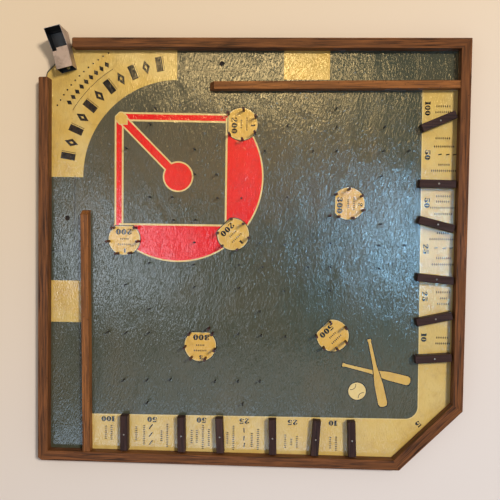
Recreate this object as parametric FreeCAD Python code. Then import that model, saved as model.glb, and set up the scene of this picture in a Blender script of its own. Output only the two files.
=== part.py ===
import FreeCAD, Part
import math
import os
from FreeCAD import Vector

# Bagatelle board: a flat playfield with a nailed-on rail frame, two lane strips, swivelling
# compartment dividers, nails, ringed pockets and a folded sheet-metal ball chute.
# All sizes are millimetres. The board lies flat, its underside on z = 0, its centre on the Z axis.
# Places on the board are given as (a, b): a from the left edge, b down from the top edge.

# ---- board and frame ----
board_side = 609.6          # outside of the square frame, 24 in
board_t = 3.2               # playfield sheet, 1/8 in
rail_w = 14.3               # rail width, 9/16 in
rail_h = 14.3               # rail height above the playfield
rail_round = 1.2            # eased top edges of the rails
end_round = 2.2             # eased upright corners where a rail stops
cut_leg = 87.3              # bottom right corner cut off the square, along each side
chamfer_leg = 52.0          # top left corner cut off the sheet alone
left_end_inset = 6.3        # sheet's edge, in from the left side, above the left rail's end
corner_blend = 12.0         # radius between that edge and the chamfer
top_rail_start = 48.3       # free end of the top rail, from the left side
left_rail_start = 55.5      # free end of the left rail, from the top side
worn_leg_low = 6.5          # bottom left corner worn off, along the bottom
worn_leg_left = 4.5         # and along the left side

# ---- lane strips ----
strip_w = 11.2
strip_h = 12.7              # also the dividers' height, 1/2 in
strip_round = 0.8
lane_w = 46.3               # gap between rail and strip at the lane's mouth
strip_start = 244.6         # free end, from the board's far side
strip_bevel = 6.6           # slanted free end, along the strip
strip_nose = 2.0            # height left at the foot of the slant
top_strip_lean = 0.5        # degrees, nearer the rail at its far end
left_strip_lean = 0.8       # degrees, further from the rail at its far end
lane_hole_d = 7.0
top_hole = (261.2, 32.8)    # (a, b) of the hole in the upper lane
left_hole = (37.8, 256.2)   # and of the one in the left lane

# ---- dividers ----
divider_len = 50.8          # 2 in
divider_w = 11.0
divider_round = 0.8
divider_lift = 0.10         # block over the playfield
divider_nail_line = 26.3    # nail centre to the rail's inner face
divider_offset = 1.6        # block's middle, out towards the field from its nail
divider_nail_d = 1.8
divider_play = 0.06         # radial, hole over nail
divider_head_gap = 0.10     # nail head over the block
nail_head_d = 2.6
nail_head_h = 0.9
nail_bite = 2.6             # how deep a nail goes into the sheet
# nail's place along its rail, in thousandths of the board's side, and the block's lean in degrees
right_dividers = [(186.4, 22.9), (330.5, -0.8), (424.3, -14.0), (551.0, -5.1), (643.3, 12.5), (735.8, 4.5)]
bottom_dividers = [(206.8, 0.4), (343.8, 1.3), (435.1, 3.0), (560.3, 1.3), (661.8, -3.4), (746.6, 2.5)]

# ---- nails and pocket pins ----
field_nail_d = 1.9
field_nail_h = 12.7         # above the playfield
field_head_d = 2.7
field_head_h = 0.8
# (a, b) of each nail, in thousandths of the board's side, row by row
nail_places = [
    (274.1, 160.0), (697.0, 158.5), (261.5, 197.4), (584.7, 198.9), (697.8, 201.3), (808.4, 200.5),
    (204.9, 254.0), (367.1, 254.9), (531.8, 258.2), (644.2, 257.2), (698.7, 256.0), (807.1, 255.8),
    (864.5, 255.3), (367.7, 313.3), (419.5, 313.9), (803.6, 313.9), (262.4, 368.4), (315.1, 367.8),
    (422.8, 368.9), (479.0, 368.9), (586.7, 364.7), (318.7, 421.9), (370.6, 421.2), (804.1, 424.7),
    (369.0, 474.1), (523.9, 473.2), (582.5, 474.6), (688.6, 470.7), (801.2, 474.9), (860.6, 474.0),
    (261.8, 524.4), (367.4, 526.5), (475.2, 525.0), (531.3, 528.8), (637.7, 527.0), (689.7, 526.2),
    (802.4, 528.1), (205.5, 576.7), (370.1, 579.5), (476.0, 580.0), (582.7, 584.4), (690.7, 581.5),
    (262.7, 633.8), (526.0, 634.4), (164.6, 690.3), (208.0, 691.3), (262.2, 691.1), (476.0, 688.3),
    (529.9, 691.0), (587.0, 692.8), (202.9, 805.1), (259.3, 803.8), (315.1, 801.2), (421.9, 802.7),
    (476.6, 801.4), (528.4, 800.1), (260.2, 858.2), (488.4, 855.6),
]
pin_d = 3.6
pin_h = 19.0                # 3/4 in
pin_round = 0.8
# (a, b) of the pins round each pocket, in thousandths of the board's side; in the fourth and fifth
# the last one stands outside the ring
pin_places = [
    [(449.1, 220.1), (479.1, 232.0), (508.2, 215.5), (509.5, 179.5), (481.4, 163.1), (445.9, 171.4)],
    [(175.6, 442.1), (164.1, 474.3), (185.8, 502.6), (217.0, 501.0), (235.1, 473.5), (228.7, 441.3)],
    [(423.8, 451.1), (435.0, 480.9), (470.6, 489.3), (497.2, 460.8), (484.3, 428.7), (455.8, 417.8)],
    [(706.5, 408.7), (738.8, 411.3), (762.2, 393.2), (759.0, 360.6),
     (728.8, 345.2), (699.5, 357.3), (686.5, 407.1)],
    [(360.4, 690.0), (349.1, 722.4), (364.8, 748.0), (398.0, 749.3),
     (419.4, 727.2), (413.9, 689.8), (405.7, 677.2)],
    [(659.6, 689.4), (677.6, 717.3), (708.1, 718.5), (729.0, 702.3), (727.4, 668.9), (692.1, 656.9)],
]

# ---- chute ----
ball_d = 19.05              # the ball that the lanes, pockets and chute are made for, 3/4 in
ball_headroom = 1.5
sheet_t = 0.6
chute_fold_r = 0.5          # outside radius of the folds
chute_w = 23.3
chute_len = 54.8
roof_len = 29.5
chute_rim_h = 35.4          # rear rim above the playfield
roof_step_w = 6.5           # roof's rear edge is cut back over this width at the left
roof_step_len = 4.0
ramp_start = 30.0           # foot of the ramp, from the mouth
ramp_rise = 9.5
ramp_flange = 5.0           # feet of the ramp, on the floor and up the rear wall
ramp_side_gap = 0.05
pivot_inset = 39.06         # pivot from the board's top and left sides, on the corner's diagonal
pivot_back = 5.8            # pivot behind the mouth
chute_turn = 104.4          # way the chute's rear looks, in degrees turned from +X
washer_t = 0.5
washer_d = 9.0
rivet_d = 3.0
rivet_play = 0.05           # radial, chute floor over rivet
rivet_head_d = 5.4
rivet_head_h = 0.7
rivet_head_gap = 0.10
rivet_tail_d = 6.0
rivet_tail_h = 0.8
rivet_tail_sink = 0.2       # tail below the sheet's underside

# ---- brads, driven from below ----
brad_d = 1.4
brad_len = 12.0
brad_head_d = 3.4
brad_head_h = 0.6
brad_pitch = 95.0           # largest spacing
brad_margin = 22.0          # first brad from the end of its rail

# ---- worked out from the above ----
cut_past = 5.0              # how far a cutting tool runs past the face it leaves
thousandth = board_side / 1000
half_side = board_side / 2
rail_top = board_t + rail_h
strip_top = board_t + strip_h
inner_far = board_side - rail_w
nail_foot = board_t - nail_bite
chute_base = board_t + washer_t
floor_top = chute_base + sheet_t
roof_top = floor_top + ball_d + ball_headroom + sheet_t
rim_top = board_t + chute_rim_h
up = Vector(0, 0, 1)


def at(a, b, z=0.0):
    return Vector(a - half_side, half_side - b, z)


def prism(corners, z_low, z_high):
    points = [at(a, b, z_low) for a, b in corners]
    outline = Part.makePolygon(points + points[:1])
    return Part.Face(outline).extrude(Vector(0, 0, z_high - z_low))


def turned(corners, middle, degrees):
    turn = math.radians(degrees)
    placed = []
    for x, y in corners:
        across = x * math.cos(turn) - y * math.sin(turn)
        up_board = x * math.sin(turn) + y * math.cos(turn)
        placed.append((middle[0] + across, middle[1] - up_board))
    return placed


def ends(edge):
    return [vertex.Point for vertex in edge.Vertexes]


def ease_top(solid, z, radius, keep_sharp=()):
    """Rounds the top edges, leaving those that lie along a mitre line."""
    picked = []
    for edge in solid.Edges:
        points = ends(edge)
        if any(abs(point.z - z) > 1e-6 for point in points):
            continue
        if any(all(on_line(point, line) for point in points) for line in keep_sharp):
            continue
        picked.append(edge)
    return solid.makeFillet(radius, picked)


def on_line(point, line):
    start, stop = at(*line[0]), at(*line[1])
    along = (stop - start).normalize()
    gap = Vector(point.x, point.y, 0) - start
    return gap.cross(along).Length < 0.01


def ease_upright(solid, spots, radius):
    picked = []
    for edge in solid.Edges:
        points = ends(edge)
        upright = len(points) == 2 and (points[0] - points[1]).cross(up).Length < 1e-6
        if upright and any(on_spot(points[0], spot) for spot in spots):
            picked.append(edge)
    return solid.makeFillet(radius, picked)


def on_spot(point, spot):
    corner = at(*spot)
    return math.hypot(point.x - corner.x, point.y - corner.y) < 0.01


def spun(profile, centre):
    """A solid of revolution about the upright line through centre, from (radius, z) pairs."""
    points = [Vector(r, 0, z) for r, z in profile]
    outline = Part.makePolygon(points + points[:1])
    solid = Part.Face(outline).revolve(Vector(0, 0, 0), up, 360)
    solid.translate(Vector(centre.x, centre.y, 0))
    return solid


def headed_nail(centre, foot, shank_r, neck, head_r, head_h):
    """A nail with a low rounded head, its shank from foot to neck."""
    profile = [(0, foot), (shank_r, foot), (shank_r, neck), (head_r, neck)]
    for tilt in (0, 30, 55):
        bend = math.radians(tilt)
        profile.append((head_r * math.cos(bend), neck + head_h * (0.35 + 0.65 * math.sin(bend))))
    profile += [(head_r * 0.25, neck + head_h), (0, neck + head_h)]
    return spun(profile, centre)


def brad(centre):
    """A flat-headed brad pointing up, its head flush with the sheet's underside."""
    shank_r = brad_d / 2
    profile = [(0, 0), (brad_head_d / 2, 0), (brad_head_d / 2, brad_head_h), (shank_r, brad_head_h),
               (shank_r, brad_len - brad_d), (0, brad_len)]
    return spun(profile, at(centre[0], centre[1]))


def spread(start, stop):
    """Brad places along the line from start to stop, in (a, b)."""
    length = math.dist(start, stop)
    run = length - 2 * brad_margin
    count = max(1, math.ceil(run / brad_pitch))
    places = []
    for step in range(count + 1):
        share = (brad_margin + run * step / count) / length
        places.append((start[0] + (stop[0] - start[0]) * share, start[1] + (stop[1] - start[1]) * share))
    return places


# ---- rails ----
inner_cut = cut_leg + rail_w * (2 - math.sqrt(2))     # inside corner of the cut, from the virtual corner
mitre_top_right = [(board_side, 0), (inner_far, rail_w)]
mitre_bottom_left = [(0, board_side), (rail_w, inner_far)]
mitre_right_corner = [(board_side, board_side - cut_leg), (inner_far, board_side - inner_cut)]
mitre_corner_bottom = [(board_side - cut_leg, board_side), (board_side - inner_cut, inner_far)]


def worn_off(shape):
    low = board_side - worn_leg_left * (1 + cut_past / worn_leg_low)
    corner = [(-cut_past, low), (worn_leg_low, board_side), (worn_leg_low, board_side + cut_past),
              (-cut_past, board_side + cut_past)]
    return shape.cut(prism(corner, -cut_past, rail_top + cut_past))


def rail(corners, mitres, free_corners=()):
    bar = prism(corners, board_t, rail_top)
    if free_corners:
        bar = ease_upright(bar, free_corners, end_round)
    return ease_top(bar, rail_top, rail_round, mitres)


top_rail = rail([(top_rail_start, 0), mitre_top_right[0], mitre_top_right[1], (top_rail_start, rail_w)],
                [mitre_top_right], [(top_rail_start, 0), (top_rail_start, rail_w)])
right_rail = rail([mitre_top_right[1], mitre_top_right[0], mitre_right_corner[0], mitre_right_corner[1]],
                  [mitre_top_right, mitre_right_corner])
corner_rail = rail([mitre_right_corner[1], mitre_right_corner[0], mitre_corner_bottom[0],
                    mitre_corner_bottom[1]], [mitre_right_corner, mitre_corner_bottom])
bottom_rail = rail([mitre_corner_bottom[1], mitre_corner_bottom[0], mitre_bottom_left[0],
                    mitre_bottom_left[1]], [mitre_corner_bottom, mitre_bottom_left])
left_rail = rail([(rail_w, left_rail_start), mitre_bottom_left[1], mitre_bottom_left[0],
                  (0, left_rail_start)], [mitre_bottom_left],
                 [(0, left_rail_start), (rail_w, left_rail_start)])
bottom_rail = worn_off(bottom_rail)
left_rail = worn_off(left_rail)

# ---- playfield sheet ----
sheet_outline = [(chamfer_leg, 0), (board_side, 0), (board_side, board_side - cut_leg),
                 (board_side - cut_leg, board_side), (0, board_side), (0, left_rail_start),
                 (left_end_inset, left_rail_start), (left_end_inset, chamfer_leg - left_end_inset)]
playfield = prism(sheet_outline, 0, board_t)
playfield = ease_upright(playfield, [sheet_outline[-1]], corner_blend)
playfield = worn_off(playfield)
for place in (top_hole, left_hole):
    playfield = playfield.cut(Part.makeCylinder(lane_hole_d / 2, board_t * 3, at(*place, -board_t)))

# ---- lane strips ----


def lane_strip(length):
    """A strip along +X from its free end at the origin, seen from the side, then given its width."""
    side = [Vector(0, 0, board_t), Vector(0, 0, board_t + strip_nose), Vector(strip_bevel, 0, strip_top),
            Vector(length, 0, strip_top), Vector(length, 0, board_t)]
    face = Part.Face(Part.makePolygon(side + side[:1]))
    bar = face.extrude(Vector(0, -strip_w, 0))
    long_edges = []
    for edge in bar.Edges:
        points = ends(edge)
        if all(abs(point.z - strip_top) < 1e-6 for point in points) and abs(points[0].x - points[1].x) > 1:
            long_edges.append(edge)
    return bar.makeFillet(strip_round, long_edges)


strip_gap = rail_w + lane_w
strip_length = inner_far - strip_start
top_strip = lane_strip(strip_length + strip_w)
top_strip.rotate(Vector(0, 0, 0), up, top_strip_lean)
top_strip.translate(at(strip_start, strip_gap))
far_face = [(inner_far, 0), (board_side * 2, 0), (board_side * 2, board_side), (inner_far, board_side)]
top_strip = top_strip.cut(prism(far_face, -cut_past, rail_top + cut_past))

left_strip = lane_strip(strip_length + strip_w)
left_strip = left_strip.mirror(Vector(0, 0, 0), Vector(0, 1, 0))
left_strip.rotate(Vector(0, 0, 0), up, -90 + left_strip_lean)
left_strip.translate(at(strip_gap, strip_start))
low_face = [(0, inner_far), (board_side, inner_far), (board_side, board_side * 2), (0, board_side * 2)]
left_strip = left_strip.cut(prism(low_face, -cut_past, rail_top + cut_past))

# ---- brads ----
mid = rail_w / 2
far_mid = board_side - mid
cut_mid = cut_leg + mid * (2 - math.sqrt(2))
rail_runs = {
    "top": ((top_rail_start, mid), (far_mid, mid)),
    "right": ((far_mid, rail_w), (far_mid, board_side - cut_mid)),
    "corner": ((far_mid, board_side - cut_mid), (board_side - cut_mid, far_mid)),
    "bottom": ((board_side - cut_mid, far_mid), (rail_w, far_mid)),
    "left": ((mid, far_mid), (mid, left_rail_start)),
}
brads_in = {name: [brad(place) for place in spread(*run)] for name, run in rail_runs.items()}


def strip_run(start, lean, downwards):
    along = strip_length
    drift = along * math.sin(math.radians(lean))
    half = strip_w / 2
    if downwards:
        return ((start[0] + half, start[1] + strip_bevel), (start[0] + half + drift, start[1] + along))
    return ((start[0] + strip_bevel, start[1] + half), (start[0] + along, start[1] + half - drift))


top_strip_brads = [brad(place) for place in spread(*strip_run((strip_start, strip_gap), top_strip_lean, False))]
left_strip_brads = [brad(place) for place in spread(*strip_run((strip_gap, strip_start), left_strip_lean, True))]


def drilled(bar, fasteners):
    return bar.cut(Part.makeCompound(fasteners))


top_rail = drilled(top_rail, brads_in["top"])
right_rail = drilled(right_rail, brads_in["right"])
corner_rail = drilled(corner_rail, brads_in["corner"])
bottom_rail = drilled(bottom_rail, brads_in["bottom"])
left_rail = drilled(left_rail, brads_in["left"])
top_strip = drilled(top_strip, top_strip_brads)
left_strip = drilled(left_strip, left_strip_brads)
rail_brads = [one for name in rail_runs for one in brads_in[name]]
strip_brads = top_strip_brads + left_strip_brads

# ---- dividers, each turning on its own nail ----


def divider(place, degrees):
    half_w = divider_w / 2
    near = divider_offset - divider_len / 2
    far = divider_offset + divider_len / 2
    block = prism(turned([(near, -half_w), (far, -half_w), (far, half_w), (near, half_w)], place, degrees),
                  board_t + divider_lift, strip_top)
    block = ease_top(block, strip_top, divider_round)
    hole = Part.makeCylinder(divider_nail_d / 2 + divider_play, strip_h * 2, at(*place))
    return block.cut(hole)


def divider_nail(place):
    return headed_nail(at(*place), nail_foot, divider_nail_d / 2, strip_top + divider_head_gap,
                       nail_head_d / 2, nail_head_h)


nail_line = inner_far - divider_nail_line
divider_places = {}
for count, (along, lean) in enumerate(right_dividers, 1):
    divider_places["divider_right_%d" % count] = ((nail_line, along * thousandth), 180 + lean)
for count, (along, lean) in enumerate(bottom_dividers, 1):
    divider_places["divider_bottom_%d" % count] = ((along * thousandth, nail_line), 90 + lean)
dividers = {name: divider(place, turn) for name, (place, turn) in divider_places.items()}
divider_nails = [divider_nail(place) for place, turn in divider_places.values()]

# ---- field nails ----


def field_nail(a, b):
    return headed_nail(at(a, b), nail_foot, field_nail_d / 2, board_t + field_nail_h - field_head_h,
                       field_head_d / 2, field_head_h)


field_nails = [field_nail(a * thousandth, b * thousandth) for a, b in nail_places]

# ---- pocket pins ----


def pocket_pin(a, b):
    pin = Part.makeCylinder(pin_d / 2, board_t + pin_h - nail_foot, at(a, b, nail_foot))
    crown = [edge for edge in pin.Edges if abs(edge.BoundBox.ZMin - board_t - pin_h) < 1e-6]
    return pin.makeFillet(pin_round, crown)


pocket_pins = {}
for count, ring in enumerate(pin_places, 1):
    pocket_pins["pocket_pins_%d" % count] = [pocket_pin(a * thousandth, b * thousandth) for a, b in ring]

# ---- chute, made along +Y from its mouth with the pivot on the Z axis, then turned and placed ----
inner_w = chute_w - 2 * sheet_t
rear_wall = chute_len - sheet_t
open_top = rim_top + cut_past


def side_prism(points, width):
    corners = [Vector(-width / 2, y, z) for y, z in points]
    face = Part.Face(Part.makePolygon(corners + corners[:1]))
    return face.extrude(Vector(width, 0, 0))


def fold_edges(solid):
    """The long outside folds: those of the floor, the roof and the rear wall."""
    picked = []
    for edge in solid.Edges:
        points = ends(edge)
        run = points[1] - points[0]
        level = abs(run.z) < 1e-6
        lengthwise = level and abs(run.x) < 1e-6
        rear_upright = abs(run.z) > 1 and abs(run.y) < 1e-6 and points[0].y > roof_len
        if lengthwise or rear_upright:
            picked.append(edge)
    return picked


shell = side_prism([(0, chute_base), (chute_len, chute_base), (chute_len, rim_top), (roof_len, roof_top),
                    (0, roof_top)], chute_w)
shell = shell.makeFillet(chute_fold_r, fold_edges(shell))
hollow = side_prism([(-cut_past, floor_top), (rear_wall, floor_top), (rear_wall, open_top),
                     (roof_len, open_top), (roof_len, roof_top - sheet_t),
                     (-cut_past, roof_top - sheet_t)], inner_w)
shell = shell.cut(hollow)
step = Part.makeBox(roof_step_w, roof_step_len + cut_past, sheet_t * 2,
                    Vector(-inner_w / 2, roof_len - roof_step_len, roof_top - sheet_t * 1.5))
shell = shell.cut(step)
pivot_hole = Part.makeCylinder(rivet_d / 2 + rivet_play, 4 * sheet_t, Vector(0, pivot_back, chute_base - sheet_t))
shell = shell.cut(pivot_hole)

slope = math.atan2(ramp_rise, rear_wall - ramp_start)
thick = sheet_t / math.cos(slope)
ramp_top_y = rear_wall - sheet_t
ramp = side_prism([(ramp_start - ramp_flange, floor_top), (ramp_start, floor_top),
                   (rear_wall, floor_top + ramp_rise - thick),
                   (rear_wall, floor_top + ramp_rise + ramp_flange),
                   (ramp_top_y, floor_top + ramp_rise + ramp_flange),
                   (ramp_top_y, floor_top + ramp_rise - sheet_t * math.tan(slope)),
                   (ramp_start, floor_top + thick),
                   (ramp_start - ramp_flange, floor_top + sheet_t)], inner_w - 2 * ramp_side_gap)


def place_chute(shape):
    shape.translate(Vector(0, -pivot_back, 0))
    shape.rotate(Vector(0, 0, 0), up, chute_turn - 90)
    shape.translate(at(pivot_inset, pivot_inset))
    return shape


chute_shell = place_chute(shell)
chute_ramp = place_chute(ramp)

pivot = at(pivot_inset, pivot_inset)
washer = Part.makeCylinder(washer_d / 2, washer_t, at(pivot_inset, pivot_inset, board_t))
washer = washer.cut(Part.makeCylinder(rivet_d / 2, washer_t * 3, at(pivot_inset, pivot_inset, board_t - washer_t)))
head_low = floor_top + rivet_head_gap
tail_top = rivet_tail_sink + rivet_tail_h
rivet = spun([(0, rivet_tail_sink), (rivet_tail_d / 2, rivet_tail_sink), (rivet_tail_d / 2, tail_top),
              (rivet_d / 2, tail_top), (rivet_d / 2, head_low), (rivet_head_d / 2, head_low),
              (rivet_head_d / 2, head_low + rivet_head_h * 0.5),
              (rivet_head_d * 0.38, head_low + rivet_head_h), (0, head_low + rivet_head_h)], pivot)
below = pivot - up * cut_past
counterbore = Part.makeCylinder(rivet_tail_d / 2, tail_top + cut_past, below)
rivet_hole = Part.makeCylinder(rivet_d / 2, board_t + 2 * cut_past, below)

# ---- holes in the sheet for everything driven into it ----
all_pins = [one for ring in pocket_pins.values() for one in ring]
for group in (rail_brads, strip_brads, divider_nails, field_nails, all_pins):
    playfield = playfield.cut(Part.makeCompound(group))
playfield = playfield.cut(Part.makeCompound([counterbore, rivet_hole]))

# ---- one file per node ----
nodes = {
    "playfield_board": playfield,
    "top_rail": top_rail,
    "right_rail": right_rail,
    "corner_rail": corner_rail,
    "bottom_rail": bottom_rail,
    "left_rail": left_rail,
    "top_lane_strip": top_strip,
    "left_lane_strip": left_strip,
    "rail_brads": Part.makeCompound(rail_brads),
    "strip_brads": Part.makeCompound(strip_brads),
    "divider_nails": Part.makeCompound(divider_nails),
    "field_nails": Part.makeCompound(field_nails),
    "chute_shell": chute_shell,
    "chute_ramp": chute_ramp,
    "chute_washer": washer,
    "chute_rivet": rivet,
}
nodes.update(dividers)
nodes.update({name: Part.makeCompound(ring) for name, ring in pocket_pins.items()})

os.makedirs("parts", exist_ok=True)
for name, shape in nodes.items():
    shape.exportStep("parts/%s.step" % name)
    solids = shape.Solids
    print(name, len(solids), "solids", all(one.isValid() and one.isClosed() for one in solids))
print("nodes:", len(nodes))
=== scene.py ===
import math
import bpy
import bmesh
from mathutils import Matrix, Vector
from mathutils.geometry import delaunay_2d_cdt


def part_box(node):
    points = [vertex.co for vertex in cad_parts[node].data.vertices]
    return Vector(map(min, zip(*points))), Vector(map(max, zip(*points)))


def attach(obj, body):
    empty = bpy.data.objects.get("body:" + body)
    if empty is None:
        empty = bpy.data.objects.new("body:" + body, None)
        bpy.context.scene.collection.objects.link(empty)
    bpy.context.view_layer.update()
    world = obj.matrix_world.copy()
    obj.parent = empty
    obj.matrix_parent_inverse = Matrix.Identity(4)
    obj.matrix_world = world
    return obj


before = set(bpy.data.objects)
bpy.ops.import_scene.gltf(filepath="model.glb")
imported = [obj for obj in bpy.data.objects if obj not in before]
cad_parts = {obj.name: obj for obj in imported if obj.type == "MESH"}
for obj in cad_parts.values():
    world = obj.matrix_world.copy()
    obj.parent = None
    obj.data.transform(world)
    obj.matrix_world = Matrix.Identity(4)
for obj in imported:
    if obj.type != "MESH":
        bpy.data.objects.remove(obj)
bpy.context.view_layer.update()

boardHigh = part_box("playfield_board")[1]
half = boardHigh.x                       # half the board's side
playTop = boardHigh.z                    # the playfield's surface
mm = 0.001
print("frame loaded,", len(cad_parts), "pieces")


class Wire:  # a shader socket that takes part in sums
    def __init__(self, tree, socket=None):
        self.tree = tree
        self.socket = socket

    def add(self, kind, settings=None, inputs=None, out=0):  # a new node, seen from its output
        node = self.tree.nodes.new(kind)
        for key, value in (settings or {}).items():
            setattr(node, key, value)
        for key, value in (inputs or {}).items():
            if isinstance(value, Wire):
                self.tree.links.new(value.socket, node.inputs[key])
            else:
                node.inputs[key].default_value = value
        return Wire(self.tree, node.outputs[out])

    def maths(self, operation, first, second):
        return self.add("ShaderNodeMath", {"operation": operation}, {0: first, 1: second})

    def __add__(self, other):
        return self.maths("ADD", self, other)

    def __sub__(self, other):
        return self.maths("SUBTRACT", self, other)

    def __rsub__(self, other):
        return self.maths("SUBTRACT", other, self)

    def __mul__(self, other):
        return self.maths("MULTIPLY", self, other)

    __radd__ = __add__
    __rmul__ = __mul__

    def most(self, other):  # the larger of the two
        return self.maths("MAXIMUM", self, other)

    def over(self, low, high):  # 0 below low, 1 above high
        return self.add("ShaderNodeMapRange", {"interpolation_type": "SMOOTHSTEP"},
                        {"Value": self, "From Min": low, "From Max": high})

    def mix(self, first, second):  # two colours by this factor
        return self.add("ShaderNodeMix", {"data_type": "RGBA"}, {0: self, 6: first, 7: second}, 2)

    def stretched(self, size, turn=0.0, shift=(0, 0, 0)):  # places in lengths of size, turned about Z
        return self.add("ShaderNodeMapping", {"vector_type": "TEXTURE"},
                        {"Vector": self, "Location": shift, "Scale": size,
                         "Rotation": (0, 0, math.radians(turn))})

    def noise(self, detail, rough, bend):
        return self.add("ShaderNodeTexNoise", None, {"Vector": self, "Scale": 1.0, "Detail": detail,
                                                     "Roughness": rough, "Distortion": bend})

    def clouds(self, look, turn=0.0, shift=(0, 0, 0)):  # noise of the size and kind that a look gives
        turn, shift = look.get("turn", turn), look.get("shift", shift)
        return self.stretched(look["size"], turn, shift).noise(*look["noise"])

    def mask(self, look):  # from 0 to the look's share, across its span
        level = self.over(*look["span"])
        return level * look["share"] if "share" in look else level

    def part(self, axis):
        return self.add("ShaderNodeSeparateXYZ", None, {0: self}, "XYZ".index(axis))

    def bump(self, depth, strength=1.0):
        return self.add("ShaderNodeBump", None,
                        {"Height": self, "Distance": depth, "Strength": strength})


def srgb(red, green, blue):  # 0 to 255, as a painter names a colour, to the shader's values
    def linear(level):
        level = level / 255
        return level / 12.92 if level <= 0.04045 else ((level + 0.055) / 1.055) ** 2.4
    return (linear(red), linear(green), linear(blue), 1)


def newFinish(name, fixed):  # fixed is what stays the same all over the surface
    material = bpy.data.materials.new(name)
    material.use_nodes = True
    tree = material.node_tree
    for key, value in fixed.items():
        tree.nodes["Principled BSDF"].inputs[key].default_value = value
    return material, Wire(tree).add("ShaderNodeTexCoord", None, None, "Object")


def connect(material, **wires):  # baseColor=wire feeds the socket "Base Color"
    tree = material.node_tree
    sockets = {"baseColor": "Base Color", "metallic": "Metallic", "roughness": "Roughness",
               "normal": "Normal"}
    for key, wire in wires.items():
        tree.links.new(wire.socket, tree.nodes["Principled BSDF"].inputs[sockets[key]])
    return material


varnish = {  # shared by the sheet and the inks printed on it
    "ior": 1.5, "roughLow": 0.06, "roughHigh": 0.16,
    "ripple": {"size": (0.0021, 0.0068, 0.01), "turn": -14, "noise": (2.0, 0.45, 0.9),
               "depth": 0.00042},
    "swell": {"size": (0.030, 0.055, 0.03), "noise": (1.0, 0.4, 0.4), "depth": 0.0010},
    "grain": {"size": (0.0011, 0.0026, 0.002), "noise": (1.0, 0.5, 0.0), "depth": 0.00008},
    "dull": {"size": (0.05, 0.07, 0.05), "shift": (0.3, 0.1, 0), "noise": (4.0, 0.6, 0.6),
             "span": (0.3, 0.75)},
}


def varnished(material, place):
    ripple, swell, grain = (place.clouds(varnish[name]) * varnish[name]["depth"]
                            for name in ("ripple", "swell", "grain"))
    depth = varnish["ripple"]["depth"]
    height = (ripple + swell + grain) * (1 / depth)
    dull = place.clouds(varnish["dull"]).mask(varnish["dull"])
    rough = dull * (varnish["roughHigh"] - varnish["roughLow"]) + varnish["roughLow"]
    return connect(material, normal=height.bump(depth), roughness=rough)


inkLooks = {
    "yellow": {"main": (204, 164, 78), "aged": (210, 182, 112), "worn": (166, 130, 66), "age": 0.9},
    "straw": {"main": (206, 172, 92), "aged": (210, 184, 116), "worn": (176, 140, 76), "age": 0.8},
    "gold": {"main": (214, 168, 74), "aged": (220, 180, 98), "worn": (180, 136, 58), "age": 0.6},
    "cream": {"main": (216, 188, 120), "aged": (224, 202, 146), "worn": (184, 150, 92), "age": 0.6},
    "red": {"main": (226, 10, 14), "aged": (230, 20, 32), "worn": (188, 12, 16), "age": 0.5},
    "black": {"main": (12, 11, 10), "aged": (18, 15, 12), "worn": (28, 22, 15), "age": 0.4},
    "faded": {"main": (48, 36, 20), "aged": (66, 50, 28), "worn": (44, 33, 19), "age": 0.5},
    "shade": {"main": (34, 36, 24), "aged": (42, 42, 28), "worn": (24, 26, 20), "age": 0.4},
}
inkWear = {
    "patch": {"size": (0.09, 0.12, 0.1), "turn": 20, "shift": (0.05, 0.02, 0),
              "noise": (3.0, 0.55, 0.8), "span": (0.35, 0.7)},
    "blotch": {"size": (0.012, 0.016, 0.01), "noise": (4.0, 0.65, 0.5), "span": (0.42, 0.85),
               "share": 0.6},
    "specks": {"size": (0.0022, 0.0022, 0.0022), "noise": (1.0, 0.4, 0.0), "span": (0.72, 0.80),
               "share": 0.5},
}


def inkFinish(name, look):
    material, place = newFinish(name, {"IOR": varnish["ior"]})
    patch = place.clouds(inkWear["patch"]).mask(inkWear["patch"]) * look["age"]
    colour = patch.mix(srgb(*look["main"]), srgb(*look["aged"]))
    for wear in (inkWear["blotch"], inkWear["specks"]):
        colour = place.clouds(wear).mask(wear).mix(colour, srgb(*look["worn"]))
    return varnished(connect(material, baseColor=colour), place)


sheetLook = {
    "green": (64, 68, 54), "greenAged": (80, 74, 53), "greenWorn": (44, 46, 37),
    "hardboard": (112, 78, 50), "hardboardDark": (74, 50, 33),
    "greenFrom": 0.0029,                 # how high up the sheet's edge the green begins, in metres
    "patch": {"size": (0.10, 0.16, 0.1), "turn": -15, "shift": (0.02, 0.07, 0),
              "noise": (3.0, 0.55, 0.8), "span": (0.35, 0.7), "share": 0.6},
    "blotch": {"size": (0.010, 0.02, 0.01), "noise": (4.0, 0.65, 0.5), "span": (0.5, 0.9),
               "share": 0.4},
    "fibre": {"size": (0.0018, 0.0018, 0.0005), "noise": (5.0, 0.7, 0.8), "span": (0.35, 0.7)},
}


def sheetFinish():
    look = sheetLook
    material, place = newFinish("sheetLacquer", {"IOR": varnish["ior"]})
    patch, blotch, fibre = (place.clouds(look[name]).mask(look[name])
                            for name in ("patch", "blotch", "fibre"))
    green = patch.mix(srgb(*look["green"]), srgb(*look["greenAged"]))
    green = blotch.mix(green, srgb(*look["greenWorn"]))
    board = fibre.mix(srgb(*look["hardboard"]), srgb(*look["hardboardDark"]))
    onTop = place.part("Z").over(look["greenFrom"], playTop)
    return varnished(connect(material, baseColor=onTop.mix(board, green)), place)


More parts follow.
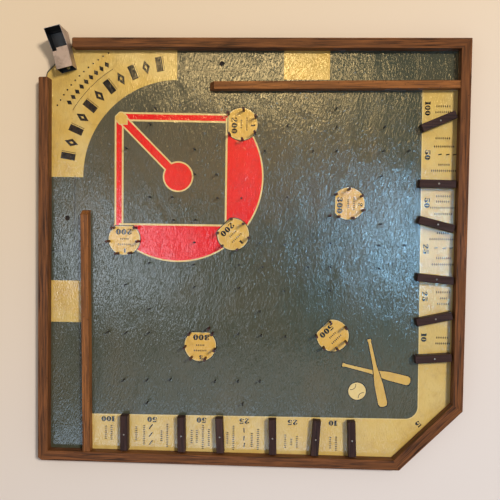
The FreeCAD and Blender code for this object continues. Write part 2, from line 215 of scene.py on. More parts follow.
woodLooks = {  # apart is how far each piece lies from the last one in the wood
    "rail": {"light": (132, 80, 42), "dark": (40, 23, 13), "flush": (108, 67, 38), "gloss": 0.42,
             "apart": (0.13, 0.07)},
    "strip": {"light": (160, 100, 50), "dark": (74, 43, 22), "flush": (130, 80, 40), "gloss": 0.40},
    "divider": {"light": (72, 48, 42), "dark": (28, 16, 14), "flush": (54, 34, 30), "gloss": 0.40,
                "apart": (0.11, 0.23)},
}
woodGrain = {  # sizes along the grain first
    "ior": 1.5, "specular": 0.12, "relief": 0.00025, "reliefStrength": 0.8,
    "streaks": {"size": (0.055, 0.0022, 0.0022), "noise": (5.0, 0.62, 0.5), "span": (0.32, 0.68),
                "height": 0.7},
    "fine": {"size": (0.010, 0.0006, 0.0006), "noise": (3.0, 0.6, 0.0), "span": (0.55, 0.75),
             "share": 0.35, "height": 0.3},
    "patches": {"size": (0.09, 0.02, 0.02), "noise": (3.0, 0.55, 0.4), "span": (0.35, 0.7),
                "share": 0.55},
    "marks": {"size": (0.0035, 0.0035, 0.0035), "noise": (1.0, 0.4, 0.0), "span": (0.70, 0.78),
              "share": 0.6},
    "dull": {"span": (0.3, 0.8), "share": 0.2},
}


def woodFinish(name, look, turn, shift):  # turn is the way the grain runs, in degrees from +X
    grain = woodGrain
    material, place = newFinish(name, {"IOR": grain["ior"], "Specular IOR Level": grain["specular"]})
    streaks, fine, patches = (place.clouds(grain[part], turn, shift)
                              for part in ("streaks", "fine", "patches"))
    marks = place.clouds(grain["marks"], 0, shift)
    colour = streaks.mask(grain["streaks"]).mix(srgb(*look["dark"]), srgb(*look["light"]))
    colour = patches.mask(grain["patches"]).mix(colour, srgb(*look["flush"]))
    colour = fine.mask(grain["fine"]).mix(colour, srgb(*look["dark"]))
    colour = marks.mask(grain["marks"]).mix(colour, srgb(*look["dark"]))
    rough = patches.mask(grain["dull"]) + look["gloss"]
    relief = streaks * grain["streaks"]["height"] + fine * grain["fine"]["height"]
    return connect(material, baseColor=colour, roughness=rough,
                   normal=relief.bump(grain["relief"], grain["reliefStrength"]))


hardwareLooks = {  # on is how the names of its nodes begin, size is that of its clouds in metres
    "brightNail": {"on": ("divider_nails",), "main": (160, 152, 144), "marks": (92, 84, 78),
                   "gloss": 0.34, "metallic": 1.0, "size": 0.002},
    "agedNail": {"on": ("field_nails",), "main": (24, 20, 17), "marks": (15, 12, 10),
                 "gloss": 0.46, "metallic": 0.0, "size": 0.002},
    "maroonPin": {"on": ("pocket_pins",), "main": (64, 12, 9), "marks": (36, 6, 5),
                  "gloss": 0.42, "metallic": 0.0, "size": 0.003},
    "dullBrad": {"on": ("rail_brads", "strip_brads"), "main": (120, 116, 110), "marks": (84, 66, 50),
                 "gloss": 0.42, "metallic": 1.0, "size": 0.002},
    "washerFibre": {"on": ("chute_washer",), "main": (120, 62, 44), "marks": (84, 42, 30),
                    "gloss": 0.7, "metallic": 0.0, "size": 0.001},
    "rivetBrass": {"on": ("chute_rivet",), "main": (176, 142, 82), "marks": (110, 84, 50),
                   "gloss": 0.35, "metallic": 1.0, "size": 0.002},
    # the ramp is near-black as painted shade of the hopper's inside
    "rampShade": {"on": ("chute_ramp",), "main": (16, 16, 17), "marks": (28, 27, 27),
                    "gloss": 0.45, "metallic": 0.0, "size": 0.006},
}
hardwareGrain = {"noise": (4.0, 0.6, 0.5), "span": (0.4, 0.75), "dull": 0.25,
                 "fineNoise": (2.0, 0.5, 0.0), "finer": 6, "fineDepth": 0.00006}


def hardwareFinish(name, look):
    grain = hardwareGrain
    material, place = newFinish(name, {"Metallic": look["metallic"]})
    cloud = place.stretched([look["size"]] * 3).noise(*grain["noise"])
    fine = place.stretched([look["size"] / grain["finer"]] * 3).noise(*grain["fineNoise"])
    colour = cloud.mask(grain).mix(srgb(*look["main"]), srgb(*look["marks"]))
    return connect(material, baseColor=colour, roughness=cloud * grain["dull"] + look["gloss"],
                   normal=fine.bump(grain["fineDepth"]))


chuteLook = {  # sizes in metres, along and across the chute from its pivot
    # the inner faces get a near-black colour: painted shade for the chute's inside
    "plate": (176, 156, 142), "plateMarks": (128, 112, 100), "inside": (20, 18, 18),
    "turn": 104.4, "pivot": 0.03906, "behind": 0.0058, "innerHalf": 0.0113, "rearWall": 0.05445,
    "roofEnd": 0.0296, "roofUnder": 0.0249, "seam": 0.0001,
    "cloud": {"size": (0.012, 0.012, 0.012), "noise": (4.0, 0.6, 0.5), "span": (0.4, 0.75)},
    "streak": {"size": (0.03, 0.0012, 0.01), "noise": (3.0, 0.6, 0.2)},
    "metallic": 0.7, "gloss": 0.32, "dull": 0.2, "cloudHeight": 0.5, "depth": 0.00012,
}


def chuteFinish():  # plated outside, near-black inside as painted shade
    look = chuteLook
    material, place = newFinish("platedSheet", {})
    own = place.stretched((1, 1, 1), look["turn"], (look["pivot"] - half, half - look["pivot"], 0))
    along, across = own.part("X") + look["behind"], own.part("Y")
    seam, innerHalf, rearWall = look["seam"], look["innerHalf"], look["rearWall"]
    side = (across * across).over((innerHalf - seam) ** 2, (innerHalf + seam) ** 2)
    rear = along.over(rearWall - seam, rearWall + seam)
    roof = place.part("Z").over(look["roofUnder"] - seam, look["roofUnder"] + seam)
    roof = roof * (1 - along.over(look["roofEnd"], look["roofEnd"] + 2 * seam))
    outside = side.most(rear).most(roof)
    cloud, streak = place.clouds(look["cloud"]), own.clouds(look["streak"])
    plate = cloud.mask(look["cloud"]).mix(srgb(*look["plate"]), srgb(*look["plateMarks"]))
    # the inner faces take the painted-shade colour and no metal
    return connect(material, baseColor=outside.mix(srgb(*look["inside"]), plate),
                   metallic=outside * look["metallic"], roughness=cloud * look["dull"] + look["gloss"],
                   normal=(streak + cloud * look["cloudHeight"]).bump(look["depth"]))


def dress(material, *starts):  # every node whose name begins with one of starts
    for name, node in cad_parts.items():
        if name.startswith(starts):
            node.data.materials.clear()
            node.data.materials.append(material)


def dressAlike(look, turns):  # one stain for each piece, so that no two have the same grain
    stepX, stepY = look["apart"]
    for count, (name, turn) in enumerate(turns.items()):
        dress(woodFinish(name + "Stain", look, turn, (stepX * count, stepY * count, 0)), name)


dividerTurns = {name: 0 if "right" in name else 90 for name in sorted(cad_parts)
                if name.startswith("divider_") and name != "divider_nails"}
dressAlike(woodLooks["divider"], dividerTurns)
dressAlike(woodLooks["rail"], {"top_rail": 0, "bottom_rail": 0, "left_rail": 90, "right_rail": 90,
                               "corner_rail": 45})
strips = {  # they lean slightly, and their grain with them
    "top_lane_strip": {"stain": "topStripStain", "turn": 0.5, "shift": (0.2, 0.4, 0)},
    "left_lane_strip": {"stain": "leftStripStain", "turn": 90.8, "shift": (0.5, 0.1, 0)},
}
for name, strip in strips.items():
    dress(woodFinish(strip["stain"], woodLooks["strip"], strip["turn"], strip["shift"]), name)
dress(sheetFinish(), "playfield_board")
dress(chuteFinish(), "chute_shell")
for name, look in hardwareLooks.items():
    dress(hardwareFinish(name, look), *look["on"])
print("frame pieces dressed")


# the print: flat shapes at print places, p across and q down in mm, later ones over earlier ones
layout = {
    "shift": 2.5,                        # the print sits this far right and up of the frame
    "mound": 197.0,                      # the mound's place, the same across and down
}
stack = []                               # (ink, corners)


def ink(colour, corners):
    stack.append((colour, corners))


def both(colour, corners):  # on both sides of the print's diagonal
    ink(colour, corners)
    ink(colour, [(q, p) for p, q in corners])


def oval(p, q, radiusP, radiusQ, start=0, stop=360, points=48):  # degrees, anticlockwise from +p
    closed = stop - start >= 360
    count = points if closed else points + 1
    turns = [math.radians(start + (stop - start) * step / points) for step in range(count)]
    return [(p + radiusP * math.cos(t), q - radiusQ * math.sin(t)) for t in turns]


def ring(p, q, radius, start=0, stop=360, points=48):
    return oval(p, q, radius, radius, start, stop, points)


def bar(p0, q0, p1, q1):
    return [(p0, q0), (p1, q0), (p1, q1), (p0, q1)]


def line(p0, q0, p1, q1, width):
    length = math.hypot(p1 - p0, q1 - q0)
    across, along = (q1 - q0) / length * width / 2, (p1 - p0) / length * width / 2
    return [(p0 + across, q0 - along), (p1 + across, q1 - along),
            (p1 - across, q1 + along), (p0 - across, q0 + along)]


titleLook = {"radius": 138.5, "ends": (91.2, 180.9),
             "edge": [(5.0, 199.1), (5.0, 54.0), (5.6, 50.0), (8.2, 44.6), (45.0, 7.8), (194.1, 7.8)]}


def titlePanel():
    mid = layout["mound"]
    arc = ring(mid, mid, titleLook["radius"], *titleLook["ends"], points=40)
    ink("yellow", arc + titleLook["edge"])


strikeLook = {"left": (6, 350.1, 57.5, 411.0), "top": (347.5, 6, 412.6, 57.5)}


def strikeBoxes():
    ink("yellow", bar(*strikeLook["left"]))
    ink("yellow", bar(*strikeLook["top"]))


bandLook = {  # the inner edges of the column and the row lean slightly, and are given by two points
    "column": ((543.4, 86.0), (546.3, 500.0)), "row": ((82.7, 545.7), (437.0, 542.9)),
    "start": 66.0, "far": 604.0, "bend": 18.0, "rim": 1.3,
}


def onLine(ends, known, axis):  # the place on a line, from its other coordinate
    (p0, q0), (p1, q1) = ends
    share = (known - ends[0][axis]) / (ends[1][axis] - ends[0][axis])
    return p0 + (p1 - p0) * share if axis else q0 + (q1 - q0) * share


def scoreBand():  # the right column and the bottom row, joined round the cut corner
    far, bend, column, row = (bandLook[name] for name in ("far", "bend", "column", "row"))
    middleP, middleQ = onLine(column, far, 1) - bend, onLine(row, far, 0) - bend
    for colour, gap in (("cream", 0), ("straw", bandLook["rim"])):
        start = bandLook["start"] + gap
        turn = ring(middleP, middleQ, bend + gap, 0, -90, points=16)
        ink(colour, [(start, far), (start, onLine(row, start, 0) + gap)] + turn[::-1]
            + [(onLine(column, start, 1) + gap, start), (far, start), (far, far)])


laneLook = {"near": 10.0, "side": 46.3, "end": 307.0, "wide": 0.9}


def laneLines():
    side, end, wide = laneLook["side"], laneLook["end"], laneLook["wide"]
    both("black", line(side, layout["mound"], side, end, wide))
    both("black", line(laneLook["near"], end, side, end, wide))


infieldLook = {
    "radius": 123.4, "rim": 2.1, "moundRadius": 22.2, "pathHalf": 10.5, "pathStart": 117.0,
    "edge": 266.6, "crescentEnd": 104.0, "edgeLine": (112.0, 287.0), "edgeWide": 2.7,
    "baselines": (((114.0, 111.3), (287.7, 113.3)), ((110.7, 114.0), (111.3, 287.7))),
    "baselineWide": {"cream": 13.0, "red": 8.0},
    "home": {"cream": [(104.3, 115.4), (104.3, 111.0), (111.0, 104.3), (115.4, 104.3),
                       (122.8, 110.5), (123.0, 123.0), (110.5, 122.8)],
             "gold": [(105.3, 115.0), (105.3, 111.6), (111.6, 105.3), (115.0, 105.3),
                      (121.8, 111.2), (122.0, 122.0), (111.2, 121.8)]},
}


def infield():
    look, mid = infieldLook, layout["mound"]
    radius, edge, crescentEnd = look["radius"], look["edge"], look["crescentEnd"]
    rims = (("cream", 0), ("red", look["rim"]))      # red stands inside its cream rim
    reach = math.degrees(math.acos((edge - mid) / radius))
    for colour, less in rims:
        stop = math.degrees(math.asin((mid - crescentEnd) / (radius - less)))
        arc = ring(mid, mid, radius - less, -reach, stop, points=40)
        both(colour, arc + [(edge, crescentEnd)])
    for colour, less in rims:
        arc = ring(mid, mid, radius - less, -90 + reach, -reach, points=16)
        ink(colour, arc + [(edge, edge)])
    for colour, wide in look["baselineWide"].items():
        for start, stop in look["baselines"]:
            ink(colour, line(*start, *stop, wide))
    start, stop = look["edgeLine"]
    both("cream", line(edge, start, edge, stop, look["edgeWide"]))
    for colour, less in rims:
        pathWide = 2 * (look["pathHalf"] / math.sqrt(2) - less)
        ink(colour, line(look["pathStart"], look["pathStart"], mid, mid, pathWide))
        ink(colour, ring(mid, mid, look["moundRadius"] - less))
    for colour, corners in look["home"].items():
        ink(colour, corners)


discs = [  # centre, way the opening looks, turn of its numerals, and how far each is off its place
    {"at": (287.9, 120.8), "open": 180, "turn": -90,
     "score": ("200", 2.3, 2.0), "bases": ("1", 0.8, 2.0)},
    {"at": (119.3, 288.3), "open": 90, "turn": 180,
     "score": ("200", -0.7, 2.0), "bases": ("1", 1.0, 1.1)},
    {"at": (277.6, 279.0), "open": 135, "turn": -135,
     "score": ("200", 0.7, 2.4), "bases": ("1", 1.1, 0.1)},
    {"at": (442.5, 232.9), "open": 180, "turn": -90,
     "score": ("300", 0.1, 2.4), "bases": ("2", 1.4, 1.3)},
    {"at": (231.8, 441.5), "open": 90, "turn": 180,
     "score": ("300", 1.3, 0.8), "bases": ("3", 1.3, 1.6)},
    {"at": (423.6, 423.0), "open": 135, "turn": -135,
     "score": ("500", -0.1, 2.7), "bases": ("", 0, 0)},
]
discLook = {
    "radius": 23.0, "chord": 19.0,
    "rims": (("shade", -1.3), ("cream", 0), ("gold", 1.0)),    # each ink and how far in it begins
    "scoreAway": 12.6, "scoreHeight": 8.3, "basesAway": -15.6, "basesHeight": 6.0,
    "beads": ((0.4, 5.2), (-7.6, 8.4)), "beadWide": 3.4,
}


def pocketDiscs():
    look = discLook
    for disc in discs:
        middleP, middleQ = disc["at"]
        toward = disc["open"]
        outP, outQ = math.cos(math.radians(toward)), -math.sin(math.radians(toward))

        def place(away, aside=0.0, offP=0, offQ=0):
            return (middleP + away * outP - aside * outQ + offP,
                    middleQ + away * outQ + aside * outP + offQ)
        for colour, less in look["rims"]:
            radius = look["radius"] - less
            swing = math.degrees(math.acos((look["chord"] - less) / radius))
            ink(colour, ring(middleP, middleQ, radius, toward + swing, toward + 360 - swing, points=56))
        for part in ("score", "bases"):
            text, offP, offQ = disc[part]
            p, q = place(look[part + "Away"], 0, offP, offQ)
            numeral(text, p, q, look[part + "Height"], disc["turn"], "gold")
        for away, reach in look["beads"]:
            beads(*place(away, -reach), *place(away, reach), look["beadWide"])


numeralLook = {"gap": 0.04, "fat": 1.42, "wide": 0.64, "oneWide": 0.44}


def digitParts(digit):  # (on or off, corners) with y up, one unit high, and the digit's width
    def bowl(x, y, reachX, reachY):
        return [(a, -b) for a, b in oval(x, -y, reachX, reachY, points=24)]
    shapes = {
        "0": [(1, bowl(0.32, 0.5, 0.32, 0.5)), (0, bowl(0.32, 0.5, 0.045, 0.38))],
        "1": [(1, bar(0.08, 0, 0.38, 1)), (1, bar(0, 0, 0.46, 0.08)),
              (1, [(0, 0.82), (0.10, 0.88), (0.10, 1.0), (0, 0.92)])],
        "2": [(1, bowl(0.34, 0.72, 0.27, 0.28)), (0, bowl(0.27, 0.74, 0.07, 0.19)),
              (0, bar(0.0, 0.36, 0.28, 0.62)), (1, bowl(0.13, 0.72, 0.11, 0.12)),
              (1, [(0.32, 0.52), (0.60, 0.64), (0.26, 0.16), (0.03, 0.10)]),
              (1, [(0.03, 0.02), (0.16, 0.20), (0.40, 0.06), (0.60, 0.26), (0.56, 0.02),
                   (0.40, -0.04)])],
        "3": [(1, bowl(0.32, 0.75, 0.26, 0.25)), (0, bowl(0.25, 0.76, 0.07, 0.17)),
              (1, bowl(0.33, 0.27, 0.29, 0.27)), (0, bowl(0.25, 0.26, 0.08, 0.19)),
              (0, bar(0.0, 0.34, 0.22, 0.66)), (1, bowl(0.12, 0.76, 0.10, 0.11)),
              (1, bowl(0.12, 0.25, 0.11, 0.12)), (1, bar(0.20, 0.48, 0.40, 0.54))],
        "5": [(1, bowl(0.33, 0.32, 0.30, 0.32)), (0, bowl(0.26, 0.32, 0.08, 0.24)),
              (0, bar(0.0, 0.30, 0.20, 0.62)), (1, bowl(0.12, 0.22, 0.11, 0.12)),
              (1, bar(0.10, 0.44, 0.15, 0.98)),
              (1, [(0.10, 0.80), (0.56, 0.80), (0.62, 1.0), (0.10, 1.0)]),
              (1, bar(0.10, 0.50, 0.26, 0.56))],
    }
    return shapes[digit], numeralLook["oneWide" if digit == "1" else "wide"]


def numeral(text, p, q, height, turn, ground):  # ground is the ink that shows through its holes
    glyphs = [digitParts(digit) for digit in text]
    gap, fat = numeralLook["gap"], numeralLook["fat"]
    x = -(sum(wide for parts, wide in glyphs) + gap * (len(glyphs) - 1)) / 2
    cosine, sine = math.cos(math.radians(turn)), math.sin(math.radians(turn))
    for parts, wide in glyphs:
        for solid, corners in parts:
            placed = []
            for cornerX, cornerY in corners:
                right, upward = (cornerX + x) * height * fat, (cornerY - 0.5) * height
                placed.append((p + right * cosine - upward * sine, q - right * sine - upward * cosine))
            ink("black" if solid else ground, placed)
        x += wide + gap


beadLook = {"apart": 2.8, "reach": 1.0}


def beads(p0, q0, p1, q1, wide):  # a line of small lozenges, wide across it
    length, reach = math.hypot(p1 - p0, q1 - q0), beadLook["reach"]
    count = round(length / beadLook["apart"])
    alongP, alongQ = (p1 - p0) / length, (q1 - q0) / length
    for step in range(count + 1):
        p, q = p0 + alongP * length * step / count, q0 + alongQ * length * step / count
        ink("faded", [(p + alongP * reach, q + alongQ * reach),
                      (p - alongQ * wide / 2, q + alongP * wide / 2),
                      (p - alongP * reach, q - alongQ * reach),
                      (p + alongQ * wide / 2, q - alongP * wide / 2)])


scores = {
    "height": 7.8,
    "row": [("100", 97.1, 552.9), ("50", 162.4, 552.2), ("50", 235.0, 551.3), ("25", 297.5, 551.2),
            ("25", 367.9, 551.1), ("10", 426.1, 550.6)],
    "column": [("100", 551.4, 97.3), ("50", 552.7, 162.4), ("50", 553.5, 230.3),
               ("25", 553.4, 296.1), ("25", 553.6, 363.8), ("10", 553.5, 423.1)],
    "corner": ("5", 548.5, 548.5), "cornerHeight": 8.4,
    "rowTurn": 180, "columnTurn": -90, "cornerTurn": -135,
    # middle of each tally stroke in the row, and how far its ends lean
    "rowTallies": [(160.4, 562.9, 2.6), (160.4, 574.6, 2.6), (160.8, 586.5, 2.3),
                   (297.4, 564.6, -0.3), (297.4, 576.3, 0.2), (297.9, 586.4, 0.4)],
    "columnTallies": [(570.0, 161.7), (581.0, 161.8), (590.6, 161.8),
                      (567.7, 294.3), (579.6, 294.6), (589.2, 294.2)],
    "rowTally": {"reach": 3.4, "wide": 1.7}, "columnTally": {"reach": 2.5, "lean": 0.5, "wide": 1.5},
    # along the band, and from and to across it, of the beaded lines under the numbers
    "beads": [(93.9, 564, 582), (102.2, 563, 583), (138.9, 564, 583), (150.6, 562, 589),
              (176.3, 569, 583), (184.8, 559, 592), (220.8, 567, 585), (228.4, 567, 584),
              (237.2, 559, 593), (246.0, 565, 588), (273.1, 569, 584), (281.9, 559, 593),
              (308.8, 569, 588), (317.9, 563, 592), (357.5, 570, 588), (366.3, 576, 584),
              (374.4, 572, 587), (422.8, 572, 587), (431.1, 571, 590)],
    "beadWide": 4.2,
}


def scoreNumbers():
    for along, start, stop in scores["beads"]:
        beads(along, start, along, stop, scores["beadWide"])
        beads(start, along, stop, along, scores["beadWide"])
    for name in ("row", "column"):
        for place in scores[name]:
            numeral(*place, scores["height"], scores[name + "Turn"], "straw")
    numeral(*scores["corner"], scores["cornerHeight"], scores["cornerTurn"], "straw")
    tally = scores["rowTally"]
    for p, q, lean in scores["rowTallies"]:
        ink("black", line(p - lean, q + tally["reach"], p + lean, q - tally["reach"], tally["wide"]))
    tally = scores["columnTally"]
    reach, lean = tally["reach"], tally["lean"]
    for p, q in scores["columnTallies"]:
        ink("black", line(p - reach, q + lean, p + reach, q - lean, tally["wide"]))


fanLook = {  # radii from the mound, and degrees from +p
    "radius": 163.3, "from": 170, "step": 7.0, "count": 11, "half": 10.5,
    "bars": ((-5.2, 4.4), (5.6, 6.4)), "lozengeHalf": 5.6, "holeHalf": 1.6, "holeHigh": 3.2,
    "lozenges": {"radius": 191.0, "from": 146.5, "step": 2.9, "count": 9, "half": 3.4, "high": 5.0},
    "dots": {"radius": 204.0, "from": 150.2, "step": 2.5, "count": 13, "size": 1.3},
    "rule": {"radius": 180.6, "from": 122.0, "to": 148.5, "wide": 0.7},
}


def panelOrnament():  # a fan of fat bars and lozenges, with two lighter rows behind it
    look, mid = fanLook, layout["mound"]

    def placed(radius, degrees, corners):  # corners as (along the arc, outwards)
        turn = math.radians(degrees)
        outP, outQ = math.cos(turn), math.sin(turn)
        return [(mid + (radius + out) * outP + along * outQ, mid - (radius + out) * outQ + along * outP)
                for along, out in corners]

    def lozenge(wide, high):
        return [(-wide, 0), (0, high), (wide, 0), (0, -high)]
    for step in range(look["count"]):
        degrees, high = look["from"] - step * look["step"], look["half"]
        if step % 2:
            ink("black", placed(look["radius"], degrees, lozenge(look["lozengeHalf"], high)))
            hole = lozenge(look["holeHalf"], look["holeHigh"])
            ink("yellow", placed(look["radius"], degrees, hole))
        else:
            for start, stop in look["bars"]:
                corners = [(start, -high), (start, high), (stop, high), (stop, -high)]
                ink("black", placed(look["radius"], degrees, corners))
    row = look["lozenges"]
    for step in range(row["count"]):
        degrees = row["from"] - step * row["step"]
        ink("black", placed(row["radius"], degrees, lozenge(row["half"], row["high"])))
    row = look["dots"]
    for step in range(row["count"]):
        p, q = placed(row["radius"], row["from"] - step * row["step"], [(0, 0)])[0]
        ink("black", ring(p, q, row["size"], points=12))
    rule = look["rule"]
    inner, outer = (ring(mid, mid, rule["radius"] + more, rule["from"], rule["to"], points=30)
                    for more in (0, rule["wide"]))
    ink("black", inner + outer[::-1])


motifLook = {
    "at": (487.0, 476.0), "length": 100.0, "spread": 32.0, "outline": 1.3,
    # share of half the length, mm beyond it and half the width: knob, grip, neck, barrel and tip
    "bat": ((-1, 0, 2.6), (-1, 2.5, 2.6), (-1, 4.0, 2.0), (-0.2, 0, 2.6), (0.35, 0, 6.1),
            (1, -5.0, 6.5), (1, -1.2, 4.9), (1, 0, 1.2)),
    "ballAway": 27, "ballRadius": 12.5,
    "seam": {"away": 0.72, "outer": 0.60, "inner": 0.53, "swing": 55},       # in ball radii, degrees
}


def fieldOrnament():  # two crossed bats and a ball
    look = motifLook
    middleP, middleQ = look["at"]
    for side in (-1, 1):
        swing = math.radians(45 + side * look["spread"])
        alongP, alongQ = math.cos(swing), math.sin(swing)
        for colour, more in (("black", look["outline"]), ("yellow", 0.0)):
            reach = look["length"] / 2 + more
            edge = [(share * reach + beyond, wide + more) for share, beyond, wide in look["bat"]]
            edge += [(along, -wide) for along, wide in edge[::-1]]
            ink(colour, [(middleP + along * alongP - wide * alongQ,
                          middleQ + along * alongQ + wide * alongP) for along, wide in edge])
    radius, seam = look["ballRadius"], look["seam"]
    ballP, ballQ = middleP - look["ballAway"], middleQ + look["ballAway"]
    ink("black", ring(ballP, ballQ, radius + look["outline"]))
    ink("cream", ring(ballP, ballQ, radius))
    for side, toward in ((-1, -45), (1, 135)):
        away = side * radius * seam["away"]
        outer, inner = (ring(ballP + away, ballQ + away, radius * seam[name],
                             toward - seam["swing"], toward + seam["swing"], points=14)
                        for name in ("outer", "inner"))
        ink("black", outer + inner[::-1])


titlePanel()
strikeBoxes()
scoreBand()
laneLines()
infield()
pocketDiscs()
scoreNumbers()
panelOrnament()
fieldOrnament()
print("print laid out,", len(stack), "shapes")


sheetEdge = {  # in mm from the frame's top left corner
    "inset": 0.4, "cutLeg": 87.3, "topFrom": 54.0, "leftFrom": 60.0,
    "byChute": [(6.7, 60.0), (6.7, 50.5), (9.0, 46.2)],
}


def sheetOutline():  # the sheet's edge, a little inside it
    side, near = 2 * half / mm, sheetEdge["inset"]
    far = side - near
    slant = side - (sheetEdge["cutLeg"] + near * (math.sqrt(2) - 1))
    corners = [(sheetEdge["topFrom"], near), (far, near), (far, slant), (slant, far), (near, far),
               (near, sheetEdge["leftFrom"])] + sheetEdge["byChute"]
    return [(a - layout["shift"], b + layout["shift"]) for a, b in corners]


def onBoard(p, q):  # a print place as metres in the frame
    return ((p + layout["shift"]) * mm - half, half - (q - layout["shift"]) * mm)


def cutInks():  # parts the whole stack into triangles and gives each to the topmost ink
    points, faces = [], []
    for colour, corners in [("bare", sheetOutline())] + stack:
        placed = [(x / mm, y / mm) for x, y in (onBoard(p, q) for p, q in corners)]
        area = sum(a[0] * b[1] - b[0] * a[1] for a, b in zip(placed, placed[1:] + placed[:1]))
        if area < 0:
            placed.reverse()
        faces.append(list(range(len(points), len(points) + len(placed))))
        points += [Vector(point) for point in placed]
    trianglesInside, closest = 1, 1e-4
    cut = delaunay_2d_cdt(points, [], faces, trianglesInside, closest)
    verts, triangles, faceOwners = cut[0], cut[2], cut[5]
    inks = {}
    for triangle, owners in zip(triangles, faceOwners):
        if 0 in owners and max(owners) > 0:
            inks.setdefault(stack[max(owners) - 1][0], []).append(triangle)
    return verts, inks


def newPiece(name, mesh):  # an object in the scene from a bmesh
    data = bpy.data.meshes.new(name)
    mesh.to_mesh(data)
    mesh.free()
    piece = bpy.data.objects.new(name, data)
    bpy.context.scene.collection.objects.link(piece)
    return piece


inkFilm = {"rise": 0.00003, "sunk": 0.00005}


def inkPiece(name, verts, triangles):
    mesh = bmesh.new()
    made = {}
    for index in (index for triangle in triangles for index in triangle):
        if index not in made:
            x, y = verts[index]
            made[index] = mesh.verts.new((x * mm, y * mm, playTop - inkFilm["sunk"]))
    for triangle in triangles:
        mesh.faces.new([made[index] for index in triangle])
    bmesh.ops.recalc_face_normals(mesh, faces=mesh.faces)
    for face in mesh.faces:
        if face.normal.z > 0:
            face.normal_flip()
    lifted = bmesh.ops.extrude_face_region(mesh, geom=list(mesh.faces), use_keep_orig=True)
    top = [item for item in lifted["geom"] if isinstance(item, bmesh.types.BMVert)]
    bmesh.ops.translate(mesh, verts=top, vec=(0, 0, inkFilm["rise"] + inkFilm["sunk"]))
    bmesh.ops.recalc_face_normals(mesh, faces=mesh.faces)
    return newPiece(name, mesh)


verts, inks = cutInks()
for colour, triangles in sorted(inks.items()):
    piece = inkPiece("print_" + colour, verts, triangles)
    piece.data.materials.append(inkFinish(colour + "Ink", inkLooks[colour]))
    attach(piece, "board")
    print("ink", colour, len(triangles), "triangles")


floorLook = {
    "size": 6.0, "drop": 0.0002, "rough": 0.9,
    "warm": (226, 201, 168), "cool": (222, 213, 210), "toneSpan": (-0.55, 0.55), "toneX": 0.5,
    # painted shade: the floor is made dark brown under the lane holes, where the light doesn't get down
    # through them
    "holeShade": (40, 32, 26), "holes": ((-0.0436, 0.2720), (-0.2670, 0.0486)), "holeSpan": (0.005, 0.006),
}


def makeFloor():
    mesh = bmesh.new()
    bmesh.ops.create_grid(mesh, x_segments=1, y_segments=1, size=floorLook["size"] / 2)
    floor = newPiece("floor", mesh)
    floor.location = (0, 0, -floorLook["drop"])
    material, place = newFinish("palePaper", {"Roughness": floorLook["rough"]})
    tone = (place.part("X") * floorLook["toneX"] - place.part("Y")).over(*floorLook["toneSpan"])
    paper = tone.mix(srgb(*floorLook["warm"]), srgb(*floorLook["cool"]))
    near, far = floorLook["holeSpan"]
    for x, y in floorLook["holes"]:
        awayX, awayY = place.part("X") - x, place.part("Y") - y
        beyond = (awayX * awayX + awayY * awayY).over(near ** 2, far ** 2)
        # painted shade: a dark spot on the floor under each lane hole
        paper = beyond.mix(srgb(*floorLook["holeShade"]), paper)
    floor.data.materials.append(connect(material, baseColor=paper))


keyLamp = {"at": (2.3, 1.55, 4.2), "size": (0.7, 0.7), "power": 202, "tint": (1, 0.96, 0.90)}
sheenHeight = 1.5
sheenBoxes = {  # hang straight over their places, and only show as sheen on what is glossy
    "warmBox": {"at": (-0.04, 0.64), "size": (0.68, 0.15), "power": 7.0, "tint": (1, 0.70, 0.30)},
    "amberBox": {"at": (-0.12, 0.27), "size": (1.15, 0.36), "power": 2.4, "tint": (1, 0.52, 0.22)},
    "coolBox": {"at": (0.54, 0.0), "size": (0.09, 0.46), "power": 8.0, "tint": (0.33, 0.68, 1)},
    "greyBox": {"at": (-0.61, -0.02), "size": (0.38, 0.54), "power": 5.6, "tint": (0.76, 0.88, 1)},
    "seaBox": {"at": (0.48, -0.40), "size": (0.30, 0.30), "power": 0.5, "tint": (0.25, 0.74, 1)},
    "duskBox": {"at": (0, -0.57), "size": (1.5, 0.24), "power": 1.7, "tint": (1, 0.96, 0.94)},
    "lowBox": {"at": (-0.30, -0.90), "size": (1.5, 0.24), "power": 6.0, "tint": (0.62, 0.80, 1)},
}


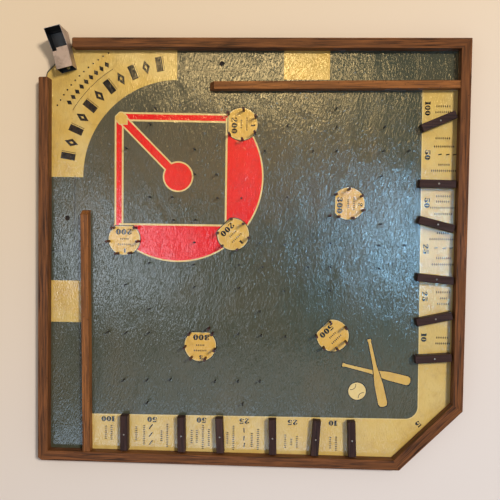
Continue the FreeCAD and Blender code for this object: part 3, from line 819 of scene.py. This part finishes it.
def makeLamp(name, lamp, at, aim, sheenOnly):
    light = bpy.data.lights.new(name, "AREA")
    light.shape = "RECTANGLE"
    light.size, light.size_y = lamp["size"]
    light.energy = lamp["power"]
    light.color = lamp["tint"]
    holder = bpy.data.objects.new(name, light)
    holder.location = at
    holder.rotation_mode = "QUATERNION"
    holder.rotation_quaternion = (Vector(aim) - Vector(at)).to_track_quat("-Z", "Y")
    holder.visible_diffuse = not sheenOnly
    holder.visible_glossy = sheenOnly
    bpy.context.scene.collection.objects.link(holder)


def makeLamps():
    makeLamp("keyBox", keyLamp, keyLamp["at"], (0, 0, 0), False)
    for name, lamp in sheenBoxes.items():
        makeLamp(name, lamp, (*lamp["at"], sheenHeight), (*lamp["at"], 0), True)


roomLook = {"low": (0.48, 0.48, 0.48, 1), "overhead": (0.22, 0.22, 0.22, 1), "span": (0.55, 0.98)}


def makeRoom():
    world = bpy.data.worlds.new("softRoom")
    world.use_nodes = True
    bpy.context.scene.world = world
    tree = world.node_tree
    background = tree.nodes["Background"]
    way = Wire(tree).add("ShaderNodeTexCoord", None, None, "Generated")
    tone = way.part("Z").mask(roomLook).mix(roomLook["low"], roomLook["overhead"])
    tree.links.new(tone.socket, background.inputs["Color"])
    background.inputs["Strength"].default_value = 1.0


cameraView = {  # solved from the frame's edges: place in mm over the playfield, tilts in degrees
    "at": (34.50, 35.84, 864.75), "tilt": (-1.982, 2.2735, 0.879), "lens": 43.2, "sensor": 36.0,
}


def makeCamera():
    camera = bpy.data.cameras.new("camera")
    camera.lens = cameraView["lens"]
    camera.sensor_width = cameraView["sensor"]
    holder = bpy.data.objects.new("camera", camera)
    x, y, z = cameraView["at"]
    holder.location = (x * mm, y * mm, z * mm + playTop)
    holder.rotation_mode = "ZYX"
    holder.rotation_euler = [math.radians(angle) for angle in cameraView["tilt"]]
    bpy.context.scene.collection.objects.link(holder)
    bpy.context.scene.camera = holder


makeFloor()
makeLamps()
makeRoom()
makeCamera()
bpy.context.scene.view_settings.view_transform = "Standard"
print("floor, lamps, room and camera placed")
